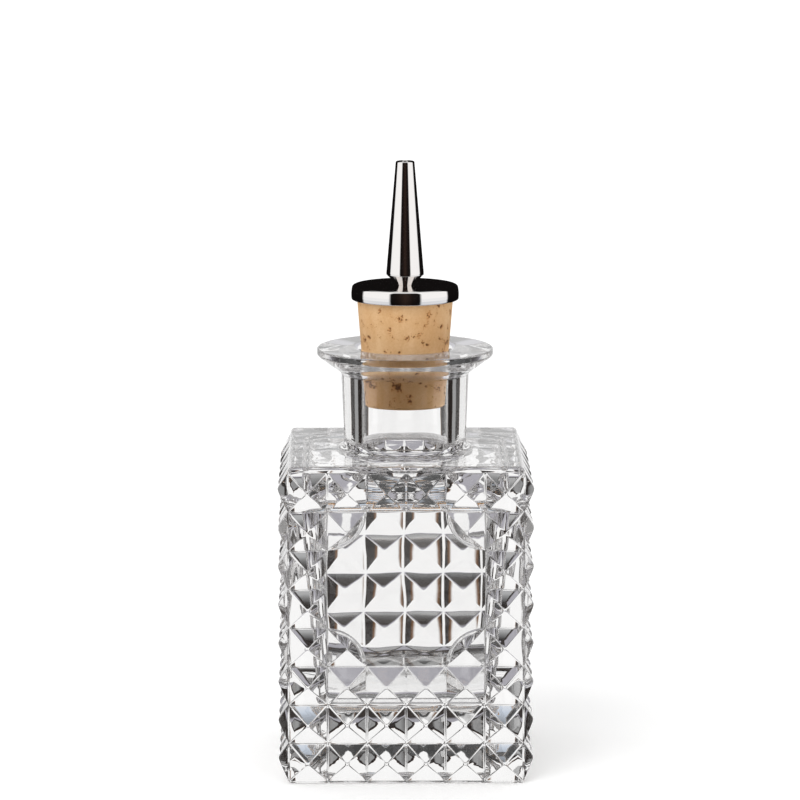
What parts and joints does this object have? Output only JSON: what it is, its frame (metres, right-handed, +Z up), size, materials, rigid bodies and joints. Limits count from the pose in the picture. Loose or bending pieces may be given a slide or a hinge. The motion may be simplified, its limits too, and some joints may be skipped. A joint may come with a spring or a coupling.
{
  "type": "bitters bottle",
  "caption": "Square pressed glass bottle with diamond faces, a bare front panel and a flanged neck, closed by a lift-out cork stopper with a metal cap and a conical dasher spout.",
  "frame": {"origin": "middle of the bounding box at the level of the rim that the bottle stands on", "axes": "+Z up along the neck and the spout, -Y out of the face with the bare panel, +X to the right of that face"},
  "size_m": [0.0588, 0.0588, 0.1408],
  "materials": {
    "glass": "clear pressed glass, fire polished",
    "cork": "natural cork with dark pores",
    "steel": "plain drawn tube",
    "chrome": "mirror polished, slightly dark chrome"
  },
  "bodies": {
    "bottle": {"bottle": "glass"},
    "stopper": {"cork": "cork", "stem_tube": "steel", "cap": "chrome", "spout": "chrome"}
  },
  "joints": [
    {"name": "stopper_lift", "type": "slide", "parent": "bottle", "child": "stopper", "axis": [0, 0, 1], "range_m": [0, 0.04]}
  ]
}
